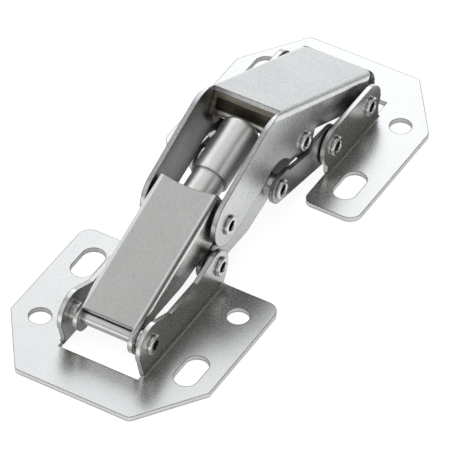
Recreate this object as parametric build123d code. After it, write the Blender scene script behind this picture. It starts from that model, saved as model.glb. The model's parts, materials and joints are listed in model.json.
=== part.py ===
from build123d import *
import os

# Surface-mounted spring hinge of the bridge type, fully open.
# Two folded plates lie flat on the mounting face (z = 0). A six-bar linkage joins
# them: box arm, bridge, inner links and outer links. A spring plunger lies in the
# box arm and pushes on a pin in the bridge.
# Lengths are in millimetres. X runs from the near plate to the far plate, Y across
# the hinge and Z up. In the driving dimensions, places along X are measured from
# the near plate's tip and heights from the mounting face.

# Sheet and the layers across the hinge
sheet = 1.2
bend_radius = 0.55
arm_half_width = 7.5
link_sheet = 1.0
bridge_gap = 0.8
link_gap = 0.15
near_ear_gap = 1.7
far_ear_gap = 0.35

# Plates
plate_width = 50.0
near_plate_length = 45.3
far_plate_length = 48.4
plate_spacing = 31.65
tip_width = 28.5
tip_length = 15.0
tip_corner_radius = 1.5
plate_corner_radius = 3.0
near_window_wall = 10.6
far_window_wall = 10.8
window_corner_inset = 1.0
screw_hole_diameter = 5.1
slot_length = 9.8
slot_width = 5.5
screw_row_spacing = 36.6
near_round_spacing = 21.8
near_slot_spacing = 17.0
far_round_spacing = 22.4
far_slot_spacing = 23.2
near_screw_centre = 27.25
far_screw_centre = 98.1

# Pivots of the linkage
base_pivot_x = 16.0
base_pivot_z = 7.57
link_pivot_x = 43.89
link_pivot_z = 7.45
arm_pivot_x = 49.06
arm_pivot_z = 15.14
joint_pivot_x = 69.09
joint_pivot_z = 10.4
bridge_pivot_x = 81.3
bridge_pivot_z = 14.37
near_ear_pivot_x = 90.39
near_ear_pivot_z = 7.25
far_ear_pivot_x = 105.82
far_ear_pivot_z = 7.05

# Rivets, pins, collars and fits
rivet_radius = 1.8
rivet_bore_radius = 1.2
rivet_bore_depth = 1.1
rivet_nose_radius = 1.2
rivet_head_radius = 2.3
rivet_head_height = 0.8
rivet_head_round = 0.4
rivet_tail_height = 0.4
collar_radius = 2.6
running_clearance = 0.05
open_pivot_clearance = 0.3

# Ears of the plates
base_lobe_radius = 5.1
link_lobe_radius = 4.6
link_lobe_lead = 1.4
near_ear_waist = 9.8
near_ear_waist_round = 2.0
near_ear_base_ramp = 7.4
near_ear_link_ramp = 9.0
near_ear_foot_inset = 3.7
near_ear_overhang = 1.5
near_ear_overhang_rise = 4.6
far_lobe_radius = 4.9
far_ear_near_inset = 3.1
far_ear_far_reach = 4.0
far_lip_start = 11.6
far_lip_round = 2.2

# Box arm
arm_base_lobe_radius = 3.6
arm_end_lobe_radius = 3.4
arm_near_lead = 1.16
arm_near_rise = 3.41
arm_far_lead = 0.79
arm_far_rise = 8.33
arm_waist = 9.15
arm_waist_lead = 6.5
arm_foot_cover = 2.8
arm_edge_hollow = 0.9
arm_hollow_depth = 2.4
channel_fold_radius = 1.4

# Bridge
bridge_arm_lobe_radius = 6.2
bridge_arm_lobe_lead = 0.3
bridge_arm_lobe_rise = 1.1
bridge_mid_lobe_radius = 4.1
bridge_end_lobe_radius = 4.2
bridge_near_lead = 8.6
bridge_near_rise = 14.83
bridge_far_reach = 6.88
bridge_far_rise = 3.55
bridge_end_drop = 4.0
bridge_crest_lead = 4.5
bridge_crest_radius = 9.5
bridge_wall_depth = 7.7
bridge_notch_radius = 6.6
bridge_notch_lead = 4.7
bridge_notch_rise = 4.5
bridge_mid_lobe_lip = 2.0
bridge_corner_radius = 3.0

# Links
foot_lobe_radius = 3.5
foot_lobe_drop = 0.45
foot_slot_travel = 1.05
belly_radius = 4.1
belly_reach = 15.7
inner_joint_radius = 4.0
inner_head_radius = 4.4
link_clearance = 0.4
outer_joint_radius = 3.6
outer_ear_radius = 4.6
outer_ear_lead = 0.9
outer_ear_lift = 0.3
outer_recess_radius = 3.2
outer_shoulder_lead = 3.5
outer_shoulder_rise = 2.6
outer_slot_lead = 1.45
outer_slot_rise = 0.4

# Spring plunger
sleeve_radius = 4.45
sleeve_wall = 0.5
sleeve_length = 15.1
sleeve_dome = 1.6
skirt_length = 11.5
rod_radius = 2.2
rod_length = 40.0
rod_clearance = 0.25
saddle_start = 0.6
saddle_end = 4.0
saddle_half_width = 4.2
spring_seat_radius = 3.2
spring_seat_start = 9.0
spring_seat_length = 1.4
spring_wire_diameter = 0.8
spring_turns = 6
thrust_pin_radius = 1.0
thrust_pin_lead = 9.29
thrust_pin_rise = 8.07
bracket_sheet = 1.2
bracket_cheek_radius = 2.6
bracket_length = 12.0
bracket_inset = 0.2

# Distances of the layers' faces from the middle plane
arm_inner = arm_half_width - sheet
bridge_inner = arm_half_width + bridge_gap
bridge_outer = bridge_inner + sheet
outer_link_inner = bridge_outer + link_gap
outer_link_outer = outer_link_inner + link_sheet
near_ear_inner = arm_half_width + near_ear_gap
near_ear_outer = near_ear_inner + sheet
far_ear_inner = outer_link_outer + far_ear_gap
far_ear_outer = far_ear_inner + sheet
fold_height = sheet + bend_radius

overall_length = near_plate_length + plate_spacing + far_plate_length
far_tip = overall_length
far_free_end = near_plate_length + plate_spacing

middle = overall_length / 2
reach = 2 * overall_length
tolerance = 1e-4


def spot(x, z):
    """A point of the side view, from a place along the hinge and a height."""
    return Vector(x - middle, z)


base_pivot = spot(base_pivot_x, base_pivot_z)
link_pivot = spot(link_pivot_x, link_pivot_z)
arm_pivot = spot(arm_pivot_x, arm_pivot_z)
joint_pivot = spot(joint_pivot_x, joint_pivot_z)
bridge_pivot = spot(bridge_pivot_x, bridge_pivot_z)
near_ear_pivot = spot(near_ear_pivot_x, near_ear_pivot_z)
far_ear_pivot = spot(far_ear_pivot_x, far_ear_pivot_z)
thrust_point = bridge_pivot + Vector(-thrust_pin_lead, thrust_pin_rise)

arm_top_near = base_pivot + Vector(-arm_near_lead, arm_near_rise)
arm_top_far = arm_pivot + Vector(-arm_far_lead, arm_far_rise)
bridge_top_near = bridge_pivot + Vector(-bridge_near_lead, bridge_near_rise)
bridge_top_far = far_ear_pivot + Vector(bridge_far_reach, bridge_far_rise)
bridge_along = (bridge_top_far - bridge_top_near).normalized()
bridge_crest = bridge_top_near - bridge_along * bridge_crest_lead
bridge_notch_edge = joint_pivot + Vector(-bridge_notch_lead, bridge_notch_rise)


def upward(start, end):
    """Unit vector square to a line of the side view, on its upper side."""
    along = (end - start).normalized()
    return Vector(-along.Y, along.X)


def disc(point, radius):
    """Circle of the side view."""
    return Pos(point.X, point.Y) * Circle(radius)


def shape(*points):
    """Straight-sided outline of the side view, always taken counter-clockwise."""
    pairs = zip(points, points[1:] + points[:1])
    twice_area = sum(a.X * b.Y - b.X * a.Y for a, b in pairs)
    ordered = points if twice_area > 0 else points[::-1]
    return Polygon(*[(p.X, p.Y) for p in ordered], align=None)


def wrap(*outlines):
    """Outline stretched tight round several outlines."""
    return make_hull([edge for outline in outlines for edge in outline.edges()])


def slab(outline, low, high):
    """Side-view outline as a flat plate between two places across the hinge."""
    return extrude(Plane.XZ.offset(-high) * outline, amount=high - low)


def mirrored(solid):
    """The same piece on the right-hand side."""
    return mirror(solid, about=Plane.XZ)


def half_space_below(start, end, depth):
    """Outline of everything deeper than a given depth under a line."""
    along = (end - start).normalized()
    up = upward(start, end)
    left = start - up * depth - along * reach
    right = end - up * depth + along * reach
    return shape(left, right, right - up * reach, left - up * reach)


def turned(point, section):
    """Piece turned about a pivot from (radius, place across the hinge) points."""
    centre = (point.X, 0, point.Y)
    plane = Plane(centre, x_dir=(1, 0, 0), z_dir=(0, 0, 1))
    return revolve(plane * section, Axis(centre, (0, 1, 0)))


def rivet(point, tail, head, nose_radius, nose_start):
    """Tubular rivet: tail, nose, shank and rolled head, from the inside outwards."""
    mouth = head + rivet_head_height
    section = Polygon(
        (0, tail - rivet_tail_height), (rivet_head_radius, tail - rivet_tail_height),
        (rivet_head_radius, tail), (nose_radius, tail),
        (nose_radius, nose_start), (rivet_radius, nose_start),
        (rivet_radius, head), (rivet_head_radius, head),
        (rivet_head_radius, mouth), (0, mouth), align=None)
    rim = [v for v in section.vertices() if v.X > rivet_radius and v.Y > head + tolerance]
    section = fillet(rim, rivet_head_round)
    bore_height = rivet_head_height + rivet_bore_depth
    bore = Pos(rivet_bore_radius / 2, mouth - bore_height / 2) * Rectangle(rivet_bore_radius, bore_height)
    section -= bore
    rim_place = Vector(rivet_bore_radius, mouth)
    lip = [v for v in section.vertices() if (Vector(v.X, v.Y) - rim_place).length < tolerance]
    section = fillet(lip, rivet_head_round)
    return turned(point, section)


def collar(point, low, high):
    """Plain ring round a rivet or pin."""
    return slab(disc(point, collar_radius) - disc(point, rivet_radius), low, high)


def oblong(start, end, radius):
    """Slot outline between two points."""
    return wrap(disc(start, radius), disc(end, radius))


# Near and far plates

def plate_blank(tip_x, free_x):
    """Outline of a plate from above, with a narrow tip and a wide free end."""
    toward = 1 if free_x > tip_x else -1
    shoulder = tip_x + toward * tip_length
    half = plate_width / 2
    tip = tip_width / 2
    blank = shape(
        Vector(tip_x, -tip), Vector(shoulder, -half), Vector(free_x, -half),
        Vector(free_x, half), Vector(shoulder, half), Vector(tip_x, tip))
    free_corners = [v for v in blank.vertices() if abs(v.X - free_x) < tolerance]
    blank = fillet(free_corners, plate_corner_radius)
    tip_corners = [v for v in blank.vertices() if abs(v.X - tip_x) < tolerance]
    return fillet(tip_corners, tip_corner_radius)


def window(wall_x, foot_x, free_x, half_width):
    """Open-ended cut-out between the ears, a little narrower at its wall."""
    overrun = free_x + (free_x - wall_x)
    main = Pos((foot_x + overrun) / 2, 0) * Rectangle(abs(overrun - foot_x), 2 * half_width)
    narrow = 2 * (half_width - window_corner_inset)
    throat = Pos((wall_x + overrun) / 2, 0) * Rectangle(abs(overrun - wall_x), narrow)
    return main + throat


def screw_holes(centre_x, round_spacing, slot_spacing):
    """Round holes on one diagonal and slots on the other."""
    row = screw_row_spacing / 2
    radius = screw_hole_diameter / 2
    holes = Sketch()
    for side in (1, -1):
        holes += Pos(centre_x - side * round_spacing / 2, side * row) * Circle(radius)
        holes += Pos(centre_x + side * slot_spacing / 2, side * row) * SlotOverall(slot_length, slot_width)
    return holes


def folded_ear(outline, foot_low, foot_high, inner, outer):
    """Upright ear on the left, with the fold that joins it to its plate."""
    upright = slab(outline, inner, outer)
    ring = Circle(bend_radius + sheet) - Circle(bend_radius)
    corner = bend_radius + sheet
    quarter = ring & (Pos(-corner / 2, -corner / 2) * Rectangle(corner, corner))
    section = Pos(outer + bend_radius, fold_height) * quarter
    fold = extrude(Plane.YZ.offset(foot_low) * section, amount=foot_high - foot_low)
    return upright + fold


def folded_plate(outline, holes, ear):
    """Flat plate with its screw holes and two ears."""
    flat = extrude(Pos(-middle, 0) * (outline - holes), amount=sheet)
    return flat + ear + mirrored(ear)


def near_ear_outline():
    """Ear with a lobe at each pivot and a lower waist between them."""
    base_lobe = disc(base_pivot, base_lobe_radius)
    link_lobe = disc(link_pivot + Vector(-link_lobe_lead, 0), link_lobe_radius)
    waist_centre = near_ear_waist - near_ear_waist_round
    near_waist = disc(spot(base_pivot_x + near_ear_base_ramp, waist_centre), near_ear_waist_round)
    far_waist = disc(spot(link_pivot_x - near_ear_link_ramp, waist_centre), near_ear_waist_round)
    outline = wrap(base_lobe, near_waist) + wrap(near_waist, far_waist) + wrap(far_waist, link_lobe)
    outline += shape(
        spot(base_pivot_x - near_ear_foot_inset, fold_height),
        spot(base_pivot_x - base_lobe_radius, base_pivot_z),
        link_pivot,
        spot(near_plate_length + near_ear_overhang, near_ear_overhang_rise),
        spot(near_plate_length, fold_height))
    return outline - half_space_below(spot(0, fold_height), spot(near_plate_length, fold_height), 0)


def near_plate():
    foot_low = base_pivot_x - near_ear_foot_inset
    outline = near_ear_outline() - disc(base_pivot, rivet_radius) - disc(link_pivot, rivet_radius)
    ear = folded_ear(outline, foot_low - middle, near_plate_length - middle, near_ear_inner, near_ear_outer)
    cut_out = window(near_window_wall, foot_low, near_plate_length, near_ear_outer + bend_radius)
    holes = screw_holes(near_screw_centre, near_round_spacing, near_slot_spacing)
    return folded_plate(plate_blank(0, near_plate_length) - cut_out, holes, ear)


def far_plate():
    foot_low = near_ear_pivot_x - far_ear_near_inset
    foot_high = far_ear_pivot_x + far_ear_far_reach
    upright = wrap(disc(near_ear_pivot, far_lobe_radius), disc(far_ear_pivot, far_lobe_radius))
    upright += shape(
        spot(foot_low, fold_height), spot(foot_high, fold_height),
        spot(foot_high, far_ear_pivot_z), spot(foot_low, near_ear_pivot_z))
    upright -= half_space_below(spot(foot_low, fold_height), spot(foot_high, fold_height), 0)
    upright -= disc(near_ear_pivot, rivet_radius)
    upright -= disc(far_ear_pivot, rivet_radius)
    ear = folded_ear(upright, foot_low - middle, foot_high - middle, far_ear_inner, far_ear_outer)
    flange = window(far_tip - far_window_wall, foot_high, far_free_end, far_ear_outer + bend_radius)
    lip_corner = Vector(far_free_end, far_lip_start)
    lip_place = Pos((foot_low + far_free_end) / 2, 0)
    lips = lip_place * Rectangle(foot_low - far_free_end, plate_width)
    lips -= lip_place * Rectangle(plate_width, 2 * far_lip_start)
    outline = plate_blank(far_tip, far_free_end) - (flange - lips)
    corners = [v for v in outline.vertices() if (Vector(v.X, abs(v.Y)) - lip_corner).length < tolerance]
    outline = fillet(corners, far_lip_round)
    holes = screw_holes(far_screw_centre, far_round_spacing, far_slot_spacing)
    return folded_plate(outline, holes, ear)


# Channels

def fold_edges(solid, start, end, half_width):
    """Long outer edges of a channel's top."""
    along = (end - start).normalized()
    up = upward(start, end)
    picked = []
    for edge in solid.edges():
        centre = edge.center()
        offset = Vector(centre.X, centre.Z) - start
        on_top = abs(offset.dot(up)) < tolerance and abs(abs(centre.Y) - half_width) < tolerance
        tangent = edge.tangent_at(0.5)
        if on_top and abs(abs(tangent.X * along.X + tangent.Z * along.Y) - 1) < tolerance:
            picked.append(edge)
    return picked


def space_before(start, end):
    """Side-view region in front of a channel's top, square to it."""
    up = upward(start, end) * reach
    forward = (start - end).normalized() * reach
    return shape(start + up, start - up, start - up + forward, start + up + forward)


def channel(outline, start, end, half_width):
    """Inverted channel: walls of the given outline under a flat top."""
    solid = slab(outline, -half_width, half_width)
    inside = half_width - sheet
    solid -= slab(half_space_below(start, end, sheet), -inside, inside)
    return fillet(fold_edges(solid, start, end, half_width), channel_fold_radius)


def box_arm():
    waist_far = spot((arm_pivot_x + base_pivot_x) / 2, arm_waist)
    waist_near = spot(base_pivot_x + arm_waist_lead, arm_waist)
    over_foot = link_pivot + Vector(arm_foot_cover, foot_lobe_radius + 2 * link_clearance)
    outline = shape(
        arm_top_near, arm_top_far, arm_pivot + Vector(arm_end_lobe_radius, 0), arm_pivot,
        over_foot, waist_far, waist_near, base_pivot, base_pivot + Vector(-arm_base_lobe_radius, 0))
    outline += disc(base_pivot, arm_base_lobe_radius)
    outline += disc(arm_pivot, arm_end_lobe_radius)
    for pivot in (base_pivot, arm_pivot):
        outline -= disc(pivot, rivet_radius + running_clearance)
    solid = channel(outline, arm_top_near, arm_top_far, arm_half_width)
    # Only the walls reach forward round the base pin
    solid -= slab(space_before(arm_top_near, arm_top_far), -arm_inner, arm_inner)
    # The top's far edge is hollowed by a wide arc
    hollow_radius = (arm_half_width**2 + arm_edge_hollow**2) / (2 * arm_edge_hollow)
    along = (arm_top_far - arm_top_near).normalized()
    up = upward(arm_top_near, arm_top_far)
    centre = arm_top_far + along * (hollow_radius - arm_edge_hollow)
    plane = Plane((centre.X, 0, centre.Y), x_dir=(along.X, 0, along.Y), z_dir=(up.X, 0, up.Y))
    cutter = plane * Cylinder(hollow_radius, 2 * arm_hollow_depth)
    return solid - cutter


def bridge_arm_outline():
    """Arm of the bridge's walls, from the box arm's pivot to a sharp crest."""
    lobe_centre = arm_pivot + Vector(bridge_arm_lobe_lead, bridge_arm_lobe_rise)
    return wrap(
        disc(lobe_centre, bridge_arm_lobe_radius), shape(bridge_crest, bridge_notch_edge, bridge_top_near))


def bridge_outline():
    """Walls of the bridge: the arm, a lobe at the inner links and a tail strip."""
    up = upward(bridge_top_near, bridge_top_far)
    down = up * -bridge_wall_depth
    strip = shape(
        bridge_top_near, bridge_top_far, bridge_top_far + Vector(0, -bridge_end_drop),
        bridge_top_far + down, bridge_top_near + down)
    mid_lobe = oblong(bridge_pivot, bridge_pivot + up * bridge_wall_depth / 2, bridge_mid_lobe_radius)
    lip = bridge_pivot + Vector(-bridge_mid_lobe_radius, -bridge_mid_lobe_lip)
    web = shape(bridge_top_near, bridge_notch_edge, lip, bridge_pivot + up * bridge_wall_depth)
    outline = strip + mid_lobe + bridge_arm_outline() + web + disc(far_ear_pivot, bridge_end_lobe_radius)
    outline -= disc(joint_pivot, bridge_notch_radius)
    outline -= disc(arm_pivot, rivet_radius)
    outline -= disc(bridge_pivot, rivet_radius)
    return outline - disc(far_ear_pivot, rivet_radius + running_clearance)


def bridge():
    up = upward(bridge_top_near, bridge_top_far)
    solid = channel(bridge_outline(), bridge_top_near, bridge_top_far, bridge_outer)
    # The walls have a rounded crest, and the top starts behind it
    arm = bridge_arm_outline()
    peak = [v for v in arm.vertices() if (Vector(v.X, v.Y) - bridge_crest).length < tolerance]
    solid -= slab(arm - fillet(peak, bridge_crest_radius), -bridge_outer, bridge_outer)
    solid -= slab(space_before(bridge_top_near, bridge_top_far), -bridge_inner, bridge_inner)
    # Corners of the top's far end are rounded
    end = (bridge_top_far.X, 0, bridge_top_far.Y)
    top = Plane(end, x_dir=(bridge_along.X, 0, bridge_along.Y), z_dir=(up.X, 0, up.Y))
    corner = bridge_corner_radius
    for side in (1, -1):
        square = Pos(-corner / 2, side * (bridge_outer - corner / 2)) * Rectangle(corner, corner)
        square -= Pos(-corner, side * (bridge_outer - corner)) * Circle(corner)
        solid -= extrude(top * square, amount=bridge_wall_depth, both=True)
    return solid


# Links

def inner_link():
    """Left inner link: foot on the near plate's ear, joint with the outer link, head in the bridge."""
    foot_centre = link_pivot + Vector(0, -foot_lobe_drop)
    belly = disc(link_pivot + Vector(belly_reach, 0), belly_radius)
    outline = wrap(disc(foot_centre, foot_lobe_radius), belly)
    outline += wrap(belly, disc(joint_pivot, inner_joint_radius), disc(bridge_pivot, inner_head_radius))
    outline -= disc(arm_pivot, arm_end_lobe_radius + link_clearance)
    slot_end = link_pivot + Vector(0, -foot_slot_travel)
    outline -= oblong(link_pivot, slot_end, rivet_nose_radius + open_pivot_clearance)
    outline -= disc(joint_pivot, rivet_radius)
    outline -= disc(bridge_pivot, rivet_radius + running_clearance)
    return slab(outline, arm_inner, arm_half_width)


def outer_link():
    """Left outer link: joint with the inner link, recess round the bridge's rivet, end in the far ear."""
    ear_end = near_ear_pivot + Vector(-outer_ear_lead, outer_ear_lift)
    outline = wrap(disc(joint_pivot, outer_joint_radius), disc(ear_end, outer_ear_radius))
    shoulder = joint_pivot + Vector(outer_shoulder_lead, outer_shoulder_rise)
    recess_bottom = bridge_pivot + Vector(0, -outer_recess_radius)
    lift = Vector(0, bridge_notch_radius)
    outline -= shape(shoulder, recess_bottom, recess_bottom + lift, shoulder + lift)
    outline -= disc(bridge_pivot, outer_recess_radius)
    slot_end = near_ear_pivot + Vector(-outer_slot_lead, outer_slot_rise)
    outline -= oblong(near_ear_pivot, slot_end, rivet_nose_radius + open_pivot_clearance)
    outline -= disc(joint_pivot, rivet_radius + running_clearance)
    return slab(outline, outer_link_inner, outer_link_outer)


# Pins, rivets and collars of the left side, with the base pin across

def base_pin():
    head = near_ear_outer
    mouth = head + rivet_head_height
    section = Polygon(
        (0, 0), (rivet_radius, 0), (rivet_radius, head), (rivet_head_radius, head),
        (rivet_head_radius, mouth), (0, mouth), align=None)
    rim = [v for v in section.vertices() if v.X > rivet_radius and v.Y > head + tolerance]
    section = fillet(rim, rivet_head_round)
    bore_height = rivet_head_height + rivet_bore_depth
    section -= Pos(rivet_bore_radius / 2, mouth - bore_height / 2) * Rectangle(rivet_bore_radius, bore_height)
    half = turned(base_pivot, section)
    return half + mirrored(half)


def left_rivets():
    """Rivets by name. A nose thinner than the shank leaves room at an open pivot."""
    slip = running_clearance
    inside_arm = arm_inner - slip
    return {
        "link_rivet": rivet(
            link_pivot, inside_arm, near_ear_outer, rivet_nose_radius, arm_half_width + slip),
        "arm_rivet": rivet(arm_pivot, inside_arm, bridge_outer, rivet_radius, arm_inner),
        "joint_rivet": rivet(joint_pivot, arm_inner, outer_link_outer + slip, rivet_radius, arm_half_width),
        "bridge_rivet": rivet(bridge_pivot, inside_arm, bridge_outer, rivet_radius, arm_inner),
        "near_ear_rivet": rivet(
            near_ear_pivot, outer_link_inner - slip, far_ear_outer, rivet_nose_radius,
            outer_link_outer + slip),
        "far_ear_rivet": rivet(far_ear_pivot, bridge_inner - slip, far_ear_outer, rivet_radius, bridge_outer),
    }


def left_collars():
    """Collars and washers by name, each filling the gap between two layers."""
    slip = running_clearance
    return {
        "base_collar": collar(base_pivot, arm_half_width + slip, near_ear_inner),
        "link_collar": collar(link_pivot, arm_half_width + slip, near_ear_inner),
        "arm_collar": collar(arm_pivot, arm_half_width + slip, bridge_inner),
        "joint_collar": collar(joint_pivot, arm_half_width, outer_link_inner - slip),
        "bridge_collar": collar(bridge_pivot, arm_half_width + slip, bridge_inner),
        "near_ear_washer": collar(near_ear_pivot, outer_link_outer + slip, far_ear_inner),
        "far_ear_collar": collar(far_ear_pivot, bridge_outer + slip, far_ear_inner),
    }


# Spring plunger, on the line from the base pin to the thrust pin

plunger_vector = thrust_point - base_pivot
plunger_direction = plunger_vector.normalized()
head_end = plunger_vector.length - thrust_pin_radius - running_clearance
sleeve_start = head_end - sleeve_length
sleeve_bore = sleeve_radius - sleeve_wall
skirt_radius = sleeve_bore - running_clearance
skirt_start = sleeve_start - skirt_length
plunger_plane = Plane(
    (base_pivot.X, 0, base_pivot.Y),
    x_dir=(plunger_direction.X, 0, plunger_direction.Y),
    z_dir=(0, -1, 0))
plunger_axis = Axis(
    (base_pivot.X, 0, base_pivot.Y), (plunger_direction.X, 0, plunger_direction.Y))


def span(start, end, radius):
    """Half section of a round bar along the plunger."""
    return Pos((start + end) / 2, radius / 2) * Rectangle(end - start, radius)


def cup_section(start, end, radius, crown_radius):
    """Half section of a round bar whose far end is rounded."""
    section = span(start, end, radius)
    crown = [v for v in section.vertices() if abs(v.X - end) < tolerance and abs(v.Y - radius) < tolerance]
    return fillet(crown, crown_radius)


def plunger_sleeve():
    section = cup_section(sleeve_start, head_end, sleeve_radius, sleeve_dome)
    section -= cup_section(sleeve_start, head_end - sleeve_wall, sleeve_bore, sleeve_dome - sleeve_wall)
    return revolve(plunger_plane * section, plunger_axis)


def plunger_skirt():
    section = span(skirt_start, head_end - sleeve_dome, skirt_radius)
    section -= span(skirt_start, head_end, rod_radius + rod_clearance)
    return revolve(plunger_plane * section, plunger_axis)


def plunger_rod():
    section = span(saddle_start, rod_length, rod_radius)
    section += span(spring_seat_start, spring_seat_start + spring_seat_length, spring_seat_radius)
    rod = revolve(plunger_plane * section, plunger_axis)
    saddle = Pos((saddle_start + saddle_end) / 2, 0) * Rectangle(saddle_end - saddle_start, 2 * rod_radius)
    rod += extrude(plunger_plane * saddle, amount=saddle_half_width, both=True)
    return rod - slab(disc(base_pivot, rivet_radius + running_clearance), -reach, reach)


def plunger_spring():
    start = spring_seat_start + spring_seat_length + spring_wire_diameter
    height = skirt_start - spring_wire_diameter - start
    coil_radius = rod_radius + rod_clearance + spring_wire_diameter / 2
    path = Helix(pitch=height / spring_turns, height=height, radius=coil_radius)
    wire = Plane(path @ 0, z_dir=path % 0) * Circle(spring_wire_diameter / 2)
    coil = sweep(wire, path=path, is_frenet=True)
    seat = base_pivot + plunger_direction * start
    return Plane((seat.X, 0, seat.Y), z_dir=(plunger_direction.X, 0, plunger_direction.Y)) * coil


def thrust_pin():
    half = bridge_inner - running_clearance
    return slab(disc(thrust_point, thrust_pin_radius), -half, half)


def thrust_bracket():
    """Folded bracket under the bridge's top, with cheeks that hold the thrust pin and a lip over it."""
    up = upward(bridge_top_near, bridge_top_far)
    near = bridge_top_near - up * sheet + bridge_along * bracket_inset
    far = near + bridge_along * bracket_length
    outline = wrap(
        shape(near, far, far - up * bracket_sheet, near - up * bracket_sheet),
        disc(thrust_point, bracket_cheek_radius))
    outline -= disc(thrust_point, thrust_pin_radius)
    half = bridge_inner - running_clearance
    inside = half - bracket_sheet
    solid = slab(outline, -half, half) - slab(half_space_below(near, far, bracket_sheet), -inside, inside)
    lip_end = thrust_point + Vector(0, thrust_pin_radius + running_clearance)
    lip = shape(near, near + bridge_along * bracket_sheet, lip_end + Vector(bracket_sheet, 0), lip_end)
    return solid + slab(lip, -inside, inside)


def write(name, solid):
    """One file for each piece."""
    export_step(solid, f"parts/{name}.step")


def write_pair(name, solid):
    """A left piece and its mirror image."""
    write(f"{name}_left", solid)
    write(f"{name}_right", mirrored(solid))


os.makedirs("parts", exist_ok=True)
write("near_plate", near_plate())
write("far_plate", far_plate())
write("box_arm", box_arm())
write("bridge", bridge())
write("base_pin", base_pin())
write("plunger_sleeve", plunger_sleeve())
write("plunger_skirt", plunger_skirt())
write("plunger_rod", plunger_rod())
write("plunger_spring", plunger_spring())
write("thrust_pin", thrust_pin())
write("thrust_bracket", thrust_bracket())
write_pair("inner_link", inner_link())
write_pair("outer_link", outer_link())
for name, solid in {**left_rivets(), **left_collars()}.items():
    write_pair(name, solid)
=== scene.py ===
"""Photo scene of the open cabinet hinge: plated finishes, pale floor, soft light and camera."""
import json

import bpy
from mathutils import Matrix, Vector


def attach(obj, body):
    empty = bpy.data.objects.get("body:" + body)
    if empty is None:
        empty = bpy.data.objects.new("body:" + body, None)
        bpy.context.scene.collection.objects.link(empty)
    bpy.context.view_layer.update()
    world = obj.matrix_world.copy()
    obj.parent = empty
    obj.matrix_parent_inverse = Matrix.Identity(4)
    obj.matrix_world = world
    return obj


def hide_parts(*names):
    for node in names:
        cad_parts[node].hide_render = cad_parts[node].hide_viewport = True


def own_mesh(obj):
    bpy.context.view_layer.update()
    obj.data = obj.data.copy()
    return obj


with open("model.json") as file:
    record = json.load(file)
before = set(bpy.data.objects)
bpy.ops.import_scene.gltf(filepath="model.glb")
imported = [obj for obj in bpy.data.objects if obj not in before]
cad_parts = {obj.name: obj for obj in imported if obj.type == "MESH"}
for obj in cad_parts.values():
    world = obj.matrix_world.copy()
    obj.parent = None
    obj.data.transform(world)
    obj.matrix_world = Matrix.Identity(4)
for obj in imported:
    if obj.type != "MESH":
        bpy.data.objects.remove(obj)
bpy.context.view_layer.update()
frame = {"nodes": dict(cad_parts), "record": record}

MM = 0.001
WHITE = (1.0, 1.0, 1.0, 1.0)

# Camera, fitted to the photo
CAMERA_PLACE = Vector((-0.65507, -0.39298, 0.71760))
VIEW_DIRECTION = Vector((0.6249, 0.3746, -0.6849))
LENS_MM = 381.34
SENSOR_MM = 36.0
CLIP_START = 0.01

# Floor, just under the plates
FLOOR_DROP = 0.0002
FLOOR_HALF = 1.5
FLOOR_CORNERS = ((-1, -1), (1, -1), (1, 1), (-1, 1))
FLOOR_GREY = (0.45, 0.45, 0.45, 1.0)
FLOOR_GLOW = 0.87
FLOOR_SHADE_REACH = 0.02

# Studio surround: each patch's direction, the cosines at which it starts and is full, and its strength
SKY_BASE = 0.06
SKY_PATCHES = (
    ((0.56, 0.48, 0.67), 0.80, 0.96, 0.83),
    ((0.93, 0.30, 0.15), 0.80, 0.97, 0.64),
    ((-0.10, 0.60, 0.80), 0.30, 0.95, 0.20),
    ((-0.10, 1.00, 0.20), 0.40, 0.95, 0.60),
    ((0.10, -0.20, 0.96), 0.86, 0.97, 0.62),
    ((-0.25, -0.95, 0.20), 0.87, 0.97, 0.50),
    ((-0.95, -0.10, 0.25), 0.10, 0.80, 0.40),
)
SKY_TINT_RANGE = (0.1, 0.9)
DIM_TINT = (1.0, 0.99, 0.88, 1.0)
BRIGHT_TINT = (0.945, 0.97, 1.0, 1.0)

# Lamp
SOFTBOX_PLACE = (0.34, 0.15, 0.274)
SOFTBOX_TARGET = (0.045, 0.0, 0.0)
SOFTBOX_SIZE = 0.18
SOFTBOX_POWER = 0.028

# Plating: noise scales are per metre
GRAIN_ALONG = (60, 2200, 2200)
GRAIN_ACROSS = (2200, 60, 2200)
EVEN = (1, 1, 1)
SPECK_SCALE = 1500.0
CLOUD_SCALE = 90.0
TONE_RANGE = (0.32, 0.68)
TONE_MIDDLE = 0.5
TONE_GLOSS = 0.12
RELIEF_STRENGTH = 0.5
RELIEF_HEIGHT = 0.008 * MM

# Painted shade in recesses and on the left side's faces turned to the middle
RECESS_RANGE = (0.15, 0.70)
INNER_SHADE_RANGE = (-4 * MM, -2 * MM)
SHADE_MOTTLE_RANGE = (0.4, 0.62)
DARK_SHADE_COLOUR = (0.05, 0.043, 0.034, 1.0)
PALE_SHADE_COLOUR = (0.16, 0.145, 0.12, 1.0)
SHADED_ROUGHENING = 0.18

# Rounded edges, and a dark line painted along edges and creases: painted shade, partly the sheared edges'
# own darker tone
EDGE_ROUNDING = 0.28 * MM
EDGE_LINE_REACH = 0.5 * MM
EDGE_LINE_RANGE = (0.84, 0.985)
EDGE_LINE_COLOUR = (0.05, 0.048, 0.043, 1.0)
EDGE_SHADE_AND_WEAR = 0.95

OCCLUSION_SAMPLES = 8
BEVEL_SAMPLES = 6


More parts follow.
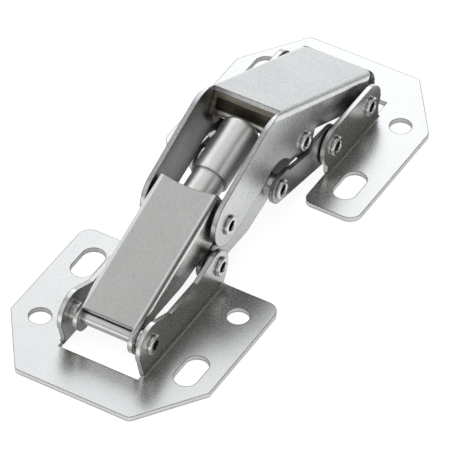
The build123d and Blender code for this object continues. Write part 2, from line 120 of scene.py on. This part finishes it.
class Tree:
    """Short way to add and join shader nodes."""

    def __init__(self, tree):
        self.tree = tree

    def add(self, kind, settings=None, **inputs):
        node = self.tree.nodes.new(kind)
        for key, value in (settings or {}).items():
            setattr(node, key, value)
        for key, value in inputs.items():
            self.feed(node.inputs[key], value)
        return node

    def feed(self, socket, value):
        """Links a socket to another one, or sets its value."""
        if isinstance(value, bpy.types.NodeSocket):
            self.tree.links.new(value, socket)
        else:
            socket.default_value = value

    def math(self, operation, first, second, clamp=False):
        node = self.add("ShaderNodeMath", {"operation": operation, "use_clamp": clamp})
        self.feed(node.inputs[0], first)
        self.feed(node.inputs[1], second)
        return node.outputs[0]

    def dot(self, first, second):
        node = self.add("ShaderNodeVectorMath", {"operation": "DOT_PRODUCT"})
        self.feed(node.inputs[0], first)
        self.feed(node.inputs[1], second)
        return node.outputs["Value"]

    def noise(self, place, scale, detail, roughness):
        node = self.add("ShaderNodeTexNoise", Vector=place, Scale=scale, Detail=detail, Roughness=roughness)
        return node.outputs["Fac"]

    def spread(self, value, low, high, to_low, to_high):
        """Maps low to to_low and high to to_high, with a soft start and end."""
        node = self.add("ShaderNodeMapRange", {"interpolation_type": "SMOOTHSTEP"}, Value=value)
        for name, number in zip(("From Min", "From Max", "To Min", "To Max"), (low, high, to_low, to_high)):
            node.inputs[name].default_value = number
        return node.outputs["Result"]

    def blend(self, amount, first, second):
        """Mixes two colours. A Mix node's colour sockets are found by number, because their names repeat."""
        node = self.add("ShaderNodeMix", {"data_type": "RGBA"})
        self.feed(node.inputs[0], amount)
        self.feed(node.inputs[6], first)
        self.feed(node.inputs[7], second)
        return node.outputs[2]

    def occlusion(self, reach):
        node = self.add("ShaderNodeAmbientOcclusion", {"samples": OCCLUSION_SAMPLES}, Distance=reach)
        return node.outputs["AO"]

    def bevel(self, radius):
        return self.add("ShaderNodeBevel", {"samples": BEVEL_SAMPLES}, Radius=radius).outputs["Normal"]

    def turned_outward(self):
        """Distance from the middle plane times how far a face turns away from it; nil on the right side."""
        sides = self.add("ShaderNodeTexCoord").outputs
        place = self.add("ShaderNodeSeparateXYZ", Vector=sides["Object"]).outputs["Y"]
        facing = self.add("ShaderNodeSeparateXYZ", Vector=sides["Normal"]).outputs["Y"]
        return self.math("MULTIPLY", self.math("MAXIMUM", place, 0.0), facing)

    def stretched(self, scale):
        """Places in the hinge's own frame, scaled along X, Y and Z."""
        place = self.add("ShaderNodeTexCoord").outputs["Object"]
        return self.add("ShaderNodeMapping", Vector=place, Scale=scale).outputs["Vector"]


def plated(name, light, dark, roughness, grain, speckle, recess_shade_amount, reach_mm, inner_shade_amount, drawn=GRAIN_ALONG):
    """Plated steel with drawn grain, fine speckle, cloudy tone, painted shade in recesses and dark lines
    painted along edges.

    grain and speckle are shares of the tone, and clouds have the rest. recess_shade_amount is painted shade
    in recesses, where other faces are within reach_mm. inner_shade_amount is painted shade on the left
    side's faces turned to the middle.
    """
    material = bpy.data.materials.new(name)
    material.use_nodes = True
    tree = Tree(material.node_tree)
    shader = material.node_tree.nodes["Principled BSDF"]
    shader.inputs["Metallic"].default_value = 1.0

    lines = tree.noise(tree.stretched(drawn), scale=1.0, detail=4.0, roughness=0.6)
    specks = tree.noise(tree.stretched(EVEN), scale=SPECK_SCALE, detail=3.0, roughness=0.7)
    clouds = tree.noise(tree.stretched(EVEN), scale=CLOUD_SCALE, detail=4.0, roughness=0.6)
    relief = tree.math("ADD", tree.math("MULTIPLY", lines, grain), tree.math("MULTIPLY", specks, speckle))
    tone = tree.math("ADD", relief, tree.math("MULTIPLY", clouds, 1.0 - grain - speckle))
    colour = tree.blend(tree.spread(tone, *TONE_RANGE, 0.0, 1.0), (*dark, 1.0), (*light, 1.0))

    # Painted shade: a darker, brownish colour in recesses and on the left side's faces turned to the middle,
    # where shade falls.
    recess_shade = tree.spread(tree.occlusion(reach_mm * MM), *RECESS_RANGE, recess_shade_amount, 0.0)
    inner_shade = tree.spread(tree.turned_outward(), *INNER_SHADE_RANGE, inner_shade_amount, 0.0)
    painted_shade = tree.math("MAXIMUM", recess_shade, inner_shade)
    shade_colour = tree.blend(tree.spread(clouds, *SHADE_MOTTLE_RANGE, 0.0, 1.0), DARK_SHADE_COLOUR, PALE_SHADE_COLOUR)
    colour = tree.blend(painted_shade, colour, shade_colour)

    flat = tree.add("ShaderNodeNewGeometry").outputs["Normal"]
    # Painted shade along edges and creases: a dark line where the rounded normal turns from the flat one,
    # partly the sheared edges' own darker tone.
    line = tree.spread(tree.dot(tree.bevel(EDGE_LINE_REACH), flat), *EDGE_LINE_RANGE, EDGE_SHADE_AND_WEAR, 0.0)
    colour = tree.blend(line, colour, EDGE_LINE_COLOUR)
    tree.feed(shader.inputs["Base Color"], colour)

    uneven = tree.math("MULTIPLY", tree.math("SUBTRACT", tone, TONE_MIDDLE), TONE_GLOSS)
    gloss = tree.math("ADD", roughness, uneven)
    # Rougher where the painted shade is.
    gloss = tree.math("ADD", gloss, tree.math("MULTIPLY", painted_shade, SHADED_ROUGHENING), clamp=True)
    tree.feed(shader.inputs["Roughness"], gloss)

    bump = tree.add(
        "ShaderNodeBump", Strength=RELIEF_STRENGTH, Distance=RELIEF_HEIGHT, Height=relief,
        Normal=tree.bevel(EDGE_ROUNDING))
    tree.feed(shader.inputs["Normal"], bump.outputs["Normal"])
    return material


def floor():
    """Paper that looks white, takes the hinge's shadow and has painted shade close to the hinge in
    reflections.
    """
    mesh = bpy.data.meshes.new("floor")
    corners = [(x * FLOOR_HALF, y * FLOOR_HALF, -FLOOR_DROP) for x, y in FLOOR_CORNERS]
    mesh.from_pydata(corners, [], [(0, 1, 2, 3)])
    plane = bpy.data.objects.new("floor", mesh)
    bpy.context.scene.collection.objects.link(plane)
    material = bpy.data.materials.new("floor_paper")
    material.use_nodes = True
    tree = Tree(material.node_tree)
    paper = material.node_tree.nodes["Principled BSDF"]
    paper.inputs["Base Color"].default_value = FLOOR_GREY
    paper.inputs["Roughness"].default_value = 1.0
    paper.inputs["Specular IOR Level"].default_value = 0.0
    paper.inputs["Emission Color"].default_value = WHITE
    path = tree.add("ShaderNodeLightPath").outputs
    # Painted shade: in reflections the floor's glow is darkened by occlusion close under the hinge.
    mirrored = tree.math("MULTIPLY", path["Is Glossy Ray"], tree.occlusion(FLOOR_SHADE_REACH))
    seen = tree.math("MAXIMUM", path["Is Camera Ray"], mirrored)
    seen = tree.math("MAXIMUM", seen, path["Is Transmission Ray"])
    tree.feed(paper.inputs["Emission Strength"], tree.math("MULTIPLY", seen, FLOOR_GLOW))
    mesh.materials.append(material)


def sky():
    """Soft studio surround of pale patches, warmer where it is dim."""
    world = bpy.data.worlds.new("studio")
    world.use_nodes = True
    bpy.context.scene.world = world
    tree = Tree(world.node_tree)
    background = world.node_tree.nodes["Background"]
    direction = tree.add("ShaderNodeTexCoord").outputs["Generated"]
    total = SKY_BASE
    for toward, start, full, strength in SKY_PATCHES:
        facing = tree.dot(direction, Vector(toward).normalized())
        total = tree.math("ADD", total, tree.spread(facing, start, full, 0.0, strength))
    tree.feed(background.inputs["Strength"], total)
    tint = tree.blend(tree.spread(total, *SKY_TINT_RANGE, 0.0, 1.0), DIM_TINT, BRIGHT_TINT)
    tree.feed(background.inputs["Color"], tint)


def lamp():
    """Softbox behind the hinge."""
    data = bpy.data.lights.new("back_softbox", "AREA")
    data.shape = "DISK"
    data.size = SOFTBOX_SIZE
    data.energy = SOFTBOX_POWER
    light = bpy.data.objects.new("back_softbox", data)
    light.location = SOFTBOX_PLACE
    aim = Vector(SOFTBOX_TARGET) - Vector(SOFTBOX_PLACE)
    light.rotation_euler = aim.to_track_quat("-Z", "Y").to_euler()
    bpy.context.scene.collection.objects.link(light)


def camera():
    """The photo's viewpoint."""
    data = bpy.data.cameras.new("photo_camera")
    data.lens = LENS_MM
    data.sensor_width = SENSOR_MM
    data.clip_start = CLIP_START
    view = bpy.data.objects.new("photo_camera", data)
    view.location = CAMERA_PLACE
    view.rotation_euler = VIEW_DIRECTION.to_track_quat("-Z", "Y").to_euler()
    bpy.context.scene.collection.objects.link(view)
    bpy.context.scene.camera = view


def spring():
    """The plunger's spring, as a copy of its mesh that moves with the rod."""
    node = frame["nodes"]["plunger_spring"]
    coil = bpy.data.objects.new("spring_coil", node.data.copy())
    bpy.context.scene.collection.objects.link(coil)
    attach(coil, "plunger_rod_body")
    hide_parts("plunger_spring")
    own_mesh(coil)


satin = plated(
    "satin_sheet_finish", light=(0.775, 0.775, 0.765), dark=(0.71, 0.71, 0.695), roughness=0.27,
    grain=0.15, speckle=0.6, recess_shade_amount=0.3, reach_mm=4, inner_shade_amount=0.3)
bright = plated(
    "bright_sheet_finish", light=(0.75, 0.76, 0.77), dark=(0.57, 0.575, 0.585), roughness=0.265,
    grain=0.12, speckle=0.6, recess_shade_amount=0.8, reach_mm=8, inner_shade_amount=0.55)
barrel = plated(
    "polished_barrel_finish", light=(0.86, 0.85, 0.83), dark=(0.74, 0.72, 0.69), roughness=0.38,
    grain=0.5, speckle=0.1, recess_shade_amount=0.2, reach_mm=4, inner_shade_amount=0.0)
pins = plated(
    "plated_pins_finish", light=(0.80, 0.80, 0.80), dark=(0.66, 0.66, 0.66), roughness=0.20,
    grain=0.2, speckle=0.3, recess_shade_amount=0.9, reach_mm=4, inner_shade_amount=0.0)
wire = plated(
    "spring_wire_finish", light=(0.52, 0.52, 0.53), dark=(0.38, 0.38, 0.39), roughness=0.30,
    grain=0.4, speckle=0.2, recess_shade_amount=0.7, reach_mm=6, inner_shade_amount=0.0)
# Dark brown finish with streaks across, for the bracket.
dark_brown_streaked = plated(
    "dark_brown_bracket_finish", light=(0.42, 0.37, 0.31), dark=(0.16, 0.14, 0.115), roughness=0.30,
    grain=0.8, speckle=0.1, recess_shade_amount=0.8, reach_mm=6, inner_shade_amount=0.5, drawn=GRAIN_ACROSS)
# Painted shade: the bright sheet finish made darker for the outer links.
shaded_link = plated(
    "shaded_link_finish", light=(0.56, 0.575, 0.57), dark=(0.42, 0.43, 0.43), roughness=0.30,
    grain=0.12, speckle=0.6, recess_shade_amount=0.8, reach_mm=8, inner_shade_amount=0.55)

SLOT_FINISHES = {
    "satin_sheet": satin, "bright_sheet": bright, "polished_barrel": barrel, "plated_pins": pins,
    "spring_wire": wire,
}
# Nodes that are duller in the photo than their slot: the outer links get a copy of the bright sheet with
# painted shade, the bracket a dark brown finish streaked across
NODE_FINISHES = {"thrust_bracket": dark_brown_streaked, "outer_link_left": shaded_link, "outer_link_right": shaded_link}
for subpart in frame["record"]["subparts"]:
    node = frame["nodes"][subpart["node"]]
    node.data.materials.clear()
    node.data.materials.append(NODE_FINISHES.get(subpart["node"], SLOT_FINISHES[subpart["material_slot"]]))

spring()
floor()
sky()
lamp()
camera()
bpy.context.scene.view_settings.view_transform = "Standard"
